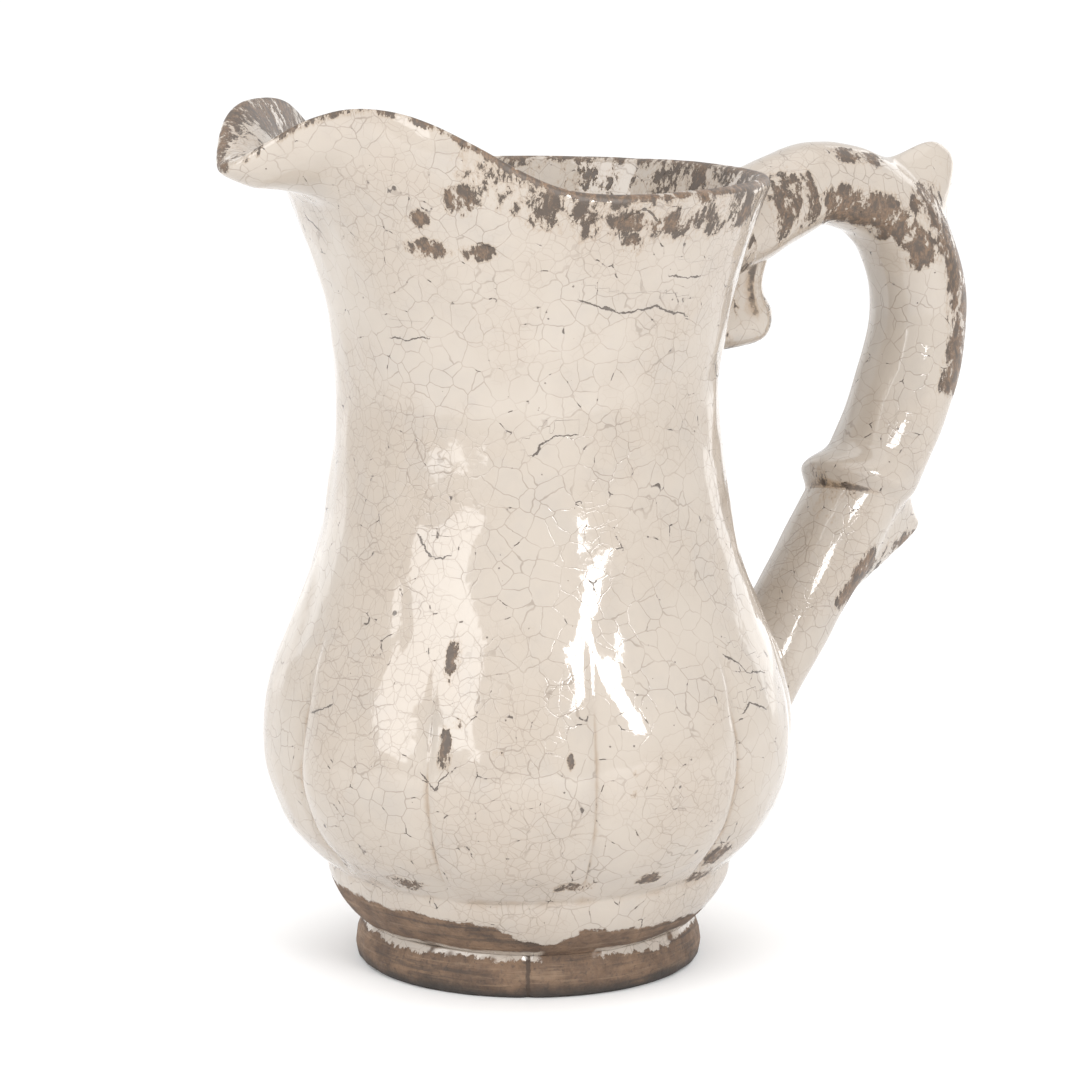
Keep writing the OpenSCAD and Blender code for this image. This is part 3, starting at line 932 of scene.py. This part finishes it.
def cell_edges(place, size):
    """Distance to the nearest border between cells size metres across, as a share of their size."""
    return place.node("ShaderNodeTexVoronoi", {"feature": "DISTANCE_TO_EDGE"},
                      {"Vector": place, "Scale": 1 / size})


def cell_dots(place, size, radius, share):
    """1 in dots of that radius, one in the middle of some of the cells; share is how many have one."""
    cells = place.node("ShaderNodeTexVoronoi", None, {"Vector": place, "Scale": 1 / size})
    pick = place.node("ShaderNodeTexVoronoi", None, {"Vector": place, "Scale": 1 / size}, output=1)
    chosen = step_up(pick.node("ShaderNodeSeparateColor", None, {0: pick}), 1 - share, 1 - share + 0.02)
    return chosen * step_up(cells, radius / size, 0.6 * radius / size)


# %% [markdown]
# The glaze is an ivory tin glaze over brown clay. As it cooled it crazed: a net of hairlines that divides
# it into cells of about 7 mm, with a net of about 4 mm besides, stained grey-brown. Here and there a line
# has opened and gone dark, and pinholes show the clay. Where it is worn, ragged brown patches come through.
# The same graph paints the bare clay of the foot, because glaze and clay meet on one piece: below a ragged
# line a few millimetres above the foot the clay is bare.

# %% Glaze and clay
IVORY, IVORY_WARM, IVORY_GREY = (0.42, 0.368, 0.315, 1), (0.392, 0.334, 0.278, 1), (0.365, 0.328, 0.292, 1)
LINE, LINE_DARK = (0.17, 0.13, 0.098, 1), (0.036, 0.022, 0.014, 1)
# The stain colour tints both the rims of worn patches and the painted shade in the grooves and under the
# ledge.
STAIN_AND_SHADE, BROWN, BROWN_DARK = (0.27, 0.175, 0.092, 1), (0.17, 0.094, 0.045, 1), (0.036, 0.019, 0.009, 1)
CLAY, CLAY_LIGHT, CLAY_DARK = (0.078, 0.042, 0.022, 1), (0.175, 0.103, 0.057, 1), (0.016, 0.011, 0.008, 1)
CLAY_PALE = (0.30, 0.205, 0.13, 1)


def new_material(name):
    """An empty material and the start of its graph."""
    material = bpy.data.materials.new(name)
    material.use_nodes = True
    material.node_tree.nodes.clear()
    return material, Wire(material.node_tree)


def attribute(start, name):
    """The value that a piece's points carry under that name, or 0 where it has none."""
    return start.node("ShaderNodeAttribute", {"attribute_name": name}, output=FACTOR_OUTPUT)


def share_along(place, direction):
    """How far the place lies along a direction: their dot product."""
    return place.node("ShaderNodeVectorMath", {"operation": "DOT_PRODUCT"}, {0: place, 1: direction}, 1)


def pottery(name, glaze_above, ragged, shoulder):
    """Glaze above a ragged line at glaze_above, clay below it, and glaze left on the foot's shoulder."""
    material, start = new_material(name)
    place = start.node("ShaderNodeTexCoord", output=OBJECT_OUTPUT)
    height = start.node("ShaderNodeSeparateXYZ", None, {0: place}, output=Z_OUTPUT)
    worn, crease_shade_and_marks = attribute(start, "wear"), attribute(start, "crease")

    wander = warped(place, 8 * MM, 4.5 * MM)
    cloud = noise(place, 45 * MM, 3)
    patch = noise(place, 16 * MM, 4, 0.6)
    grain = noise(place, 2.2 * MM, 4, 0.7)

    # The crazing: two nets of hairlines, each stronger in some places than in others.
    net = cell_edges(wander, 7 * MM)
    fine_net = cell_edges(warped(place, 5 * MM, 2.8 * MM), 4 * MM)
    hair = step_up(net, 0.030, 0.008) * (0.3 + 0.7 * step_up(patch, 0.38, 0.62))
    fine_hair = step_up(fine_net, 0.042, 0.012) * step_up(cloud, 0.42, 0.62)
    opened = step_up(net, 0.034, 0.014) * step_up(noise(place, 5.5 * MM, 3, 0.6), 0.625, 0.67)
    on_line = attribute(start, "crack_here")
    from_line = attribute(start, "crack") + (noise(place, 7 * MM, 4, 0.65) - 0.5) * (5 * MM)
    width = (noise(place, 5 * MM, 3) - 0.2) * (0.9 * MM)
    gap = from_line.math("ABSOLUTE", from_line) - width * on_line
    crack = step_up(gap, 0.1 * MM, -0.05 * MM) * step_up(on_line, 0.02, 0.3)
    opened = opened.math("MAXIMUM", opened, crack)
    pinholes = cell_dots(place, 7.5 * MM, 0.42 * MM, 0.5)
    specks = cell_dots(warped(place, 2 * MM, MM), 4.5 * MM, 0.26 * MM, 0.4)
    pocks = cell_dots(warped(place, 3 * MM, 1.2 * MM), 17 * MM, 0.95 * MM, 0.22)

    colour = blend(step_up(cloud, 0.35, 0.7), IVORY, IVORY_WARM)
    colour = blend(step_up(patch, 0.45, 0.75) * 0.45, colour, IVORY_GREY)
    # The crease attribute tints the glaze brown: painted shade in the grooves and under the ledge, and the
    # darker joints, edges and corners.
    stain_and_shade = step_up(crease_shade_and_marks + (noise(place, 12 * MM, 4) - 0.5) * 0.9, 0.28, 0.75)
    colour = blend(stain_and_shade * 0.6, colour, STAIN_AND_SHADE)
    colour = blend(hair * 0.50, colour, LINE)
    colour = blend(fine_hair * 0.28, colour, LINE)
    holes = opened + pinholes * 0.8 + pocks + specks * 0.7
    deep = holes.math("MINIMUM", holes, 1)
    colour = blend(deep * 0.85, colour, LINE_DARK)

    # Worn patches: where the wear is greater than a streaky noise, with a brown stain round their edges.
    streak = noise(stretched(warped(place, 20 * MM, 6 * MM), 1, 1, 0.45), 9 * MM, 5, 0.68)
    bristle = noise(stretched(warped(place, 6 * MM, 2 * MM), 1, 1, 0.5), 2.6 * MM, 6, 0.78)
    rub = worn * (1 + (0.5 - streak) * 2.6 + (0.5 - bristle) * 2.4)
    halo = step_up(rub, 0.36, 0.60)
    bare_patch = step_up(rub, 0.54, 0.61)
    brown = blend(step_up(bristle + (streak - 0.5) * 0.6, 0.40, 0.58), BROWN_DARK, BROWN)
    colour = blend(halo * 0.42, colour, STAIN_AND_SHADE)
    colour = blend(bare_patch * 0.92, colour, brown)

    # The glaze's lower edge, and the bare clay below it.
    right = share_along(place, (0.84, -0.54, 0))
    front = share_along(place, (-0.54, -0.84, 0))
    run_down = step_up(right, -12 * MM, -3 * MM) * step_up(right, 18 * MM, 8 * MM)
    run_down = run_down * step_up(front, 20 * MM, 40 * MM)
    edge_wave = noise(stretched(place, 1, 1, 2.2), 22 * MM, 5, 0.62) - 0.5
    edge_noise = right * 0.07 + run_down * (5 * MM) + (bristle - 0.5) * (5 * MM) + edge_wave * (2 * ragged)
    glazed = step_up(height + edge_noise, glaze_above - 0.35 * MM, glaze_above + 0.35 * MM)
    shoulder_noise = (noise(stretched(place, 1, 1, 0.5), 10 * MM, 6, 0.8) - 0.5) * (11 * MM)
    left_over = step_up(height + shoulder_noise, shoulder, shoulder + 0.5 * MM)
    left_over = left_over * step_up(noise(place, 32 * MM, 4, 0.7), 0.40, 0.47)
    left_over = left_over * step_up(height + (patch - 0.5) * (4 * MM), FOOT_TOP + 2 * MM, FOOT_TOP + 1 * MM)
    glazed = glazed.math("MAXIMUM", glazed, left_over * 0.9)
    clay = blend(step_up(noise(place, 13 * MM, 5, 0.7), 0.35, 0.68), CLAY, CLAY_LIGHT)
    clay = blend(step_up(noise(place, 1.6 * MM, 3, 0.6), 0.5, 0.72) * 0.5, clay, CLAY_DARK)
    lines = noise(stretched(place, 0.25, 0.25, 4), 9 * MM, 4, 0.7)
    clay = blend(step_up(lines, 0.52, 0.66) * 0.55, clay, CLAY_DARK)
    clay = blend(step_up(lines, 0.46, 0.34) * 0.35, clay, CLAY_PALE)
    clay = blend(step_up(height + (patch - 0.5) * (8 * MM), 6.5 * MM, 1 * MM) * 0.92, clay, CLAY_DARK)
    colour = blend(glazed, clay, colour)
    # Where the crease attribute is strongest the colour turns dark brown: painted shade in the groove
    # bottoms, and dark joints and edges.
    dark_crease_and_shade = step_up(crease_shade_and_marks * (1 + (grain - 0.5) * 1.2 + (patch - 0.5) * 1.8), 0.60, 0.85)
    colour = blend(dark_crease_and_shade * 0.85, colour, BROWN_DARK)

    rough_glaze = 0.03 + patch * 0.07 + bare_patch * 0.42 + dark_crease_and_shade * 0.3 + opened * 0.2
    rough = rough_glaze * glazed + (0.78 + (grain - 0.5) * 0.3) * (1 - glazed)

    # Heights in millimetres: hairlines and pits go down, the glaze stands above the clay, clay is gritty.
    cut = hair * 0.025 + fine_hair * 0.015 + opened * 0.16 + pinholes * 0.18 + pocks * 0.25
    orange_peel = noise(place, 8 * MM, 2) * 0.17
    glaze_relief = orange_peel - cut - bare_patch * 0.16 - bare_patch * grain * 0.12 + 0.30
    clay_relief = noise(place, 1.3 * MM, 4, 0.7) * 0.28 + noise(place, 6 * MM, 3) * 0.35
    relief = glaze_relief * glazed + clay_relief * (1 - glazed)
    bump = start.node("ShaderNodeBump", None, {"Height": relief, "Distance": MM, "Strength": 1.0})

    shader = start.node("ShaderNodeBsdfPrincipled", None,
                        {"Base Color": colour, "Roughness": rough, "Normal": bump, "IOR": 1.7})
    start.node("ShaderNodeOutputMaterial", None, {0: shader})
    return material


glaze = pottery("crackle_glaze", 26 * MM, 5 * MM, 12.8 * MM)
foot_clay = pottery("bare_clay", 60 * MM, 0.5 * MM, 12.8 * MM)
inner_glaze = pottery("floor_glaze", 0 * MM, 0.5 * MM, 12 * MM)

# %% [markdown]
# The glaze and the clay are one finish with its ragged line at different heights: on the vessel and handle
# it lies above the foot, on the foot ring above the piece, and on the floor slab below it.

# %% Give each piece its finish
glazed_pieces = {
    "body": body,
    "spout": spout,
    "handle": handle,
    "thumb_rest": thumb,
    "handle_spur": spur,
    "handle_collar": collar,
    "drop_terminal": drop,
    "upper_luting": upper_fillet,
    "lower_luting": lower_fillet,
}
for node_name, piece in glazed_pieces.items():
    finish_piece(piece, glaze, "crackle_glaze", node_name)
finish_piece(foot, foot_clay, "bare_clay", "foot_ring")
finish_piece(slab, inner_glaze, "bare_clay", "base_slab")

# %% [markdown]
# ## Floor and light
#
# The pitcher stands on a plain white sweep. A white surround fills every shadow, and soft boxes placed
# round it draw the long window shapes in the glaze: a broad one to the left of the camera and a narrow
# strong one to its right. Two weaker boxes behind light the edges, and a wide soft sun keeps the floor white.

# %% Floor
FLOOR_SPAN = 30
floor_mesh = bpy.data.meshes.new("floor")
half = FLOOR_SPAN / 2
floor_corners = [(-half, -half, 0), (half, -half, 0), (half, half, 0), (-half, half, 0)]
floor_mesh.from_pydata(floor_corners, [], [(0, 1, 2, 3)])
floor = bpy.data.objects.new("floor", floor_mesh)
bpy.context.scene.collection.objects.link(floor)
floor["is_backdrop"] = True
floor_paint, floor_start = new_material("white_sweep")
white = floor_start.node("ShaderNodeBsdfPrincipled", None,
                         {"Base Color": (0.9, 0.9, 0.9, 1), "Roughness": 0.9})
floor_start.node("ShaderNodeOutputMaterial", None, {0: white})
floor_mesh.materials.append(floor_paint)

# %% [markdown]
# A box is placed by its bearing from the camera, its height in degrees and its distance from the belly.

# %% Light
world = bpy.data.worlds.new("surround")
bpy.context.scene.world = world
world.use_nodes = True
world.node_tree.nodes["Background"].inputs["Color"].default_value = (1, 1, 1, 1)
world.node_tree.nodes["Background"].inputs["Strength"].default_value = 1.0
bpy.context.scene.view_settings.view_transform = "Standard"


def soft_box(name, from_camera, elevation, distance, width, height, power):
    """A rectangular light that faces the belly, from_camera degrees to the camera's right."""
    light = bpy.data.lights.new(name, "AREA")
    light.shape, light.size, light.size_y, light.energy = "RECTANGLE", width, height, power
    lamp = bpy.data.objects.new(name, light)
    bpy.context.scene.collection.objects.link(lamp)
    turn, rise = -TURN + np.radians(from_camera), np.radians(elevation)
    aim = Vector((0, 0, AIM_Z))
    way = Vector((np.sin(turn) * np.cos(rise), -np.cos(turn) * np.cos(rise), np.sin(rise)))
    lamp.location = aim + way * distance
    lamp.rotation_mode = "QUATERNION"
    lamp.rotation_quaternion = way.to_track_quat("Z", "Y")
    return lamp


soft_box("window_left", -48, 26, 1.5, 1.1, 1.0, 9.5)
soft_box("window_right", 33, 25, 1.4, 0.36, 0.6, 9)
sky = bpy.data.lights.new("sky_above", "SUN")
sky.energy, sky.angle = 0.6, np.radians(70)
sky_lamp = bpy.data.objects.new("sky_above", sky)
bpy.context.scene.collection.objects.link(sky_lamp)
soft_box("edge_right", 140, 14, 1.6, 0.9, 1.5, 5)
soft_box("edge_left", -145, 14, 1.7, 0.9, 1.5, 2.5)

# %% [markdown]
# ## Sizes
#
# The CAD model's box and the visual model's box are printed side by side. The visual model must
# keep to the CAD model's box.

# %% Sizes, and the end
visual_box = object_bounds()
for label, box in (("CAD box", cad_box), ("visual box", visual_box)):
    print(label, "in mm:", [[round(c * 1000, 1) for c in corner] for corner in box])
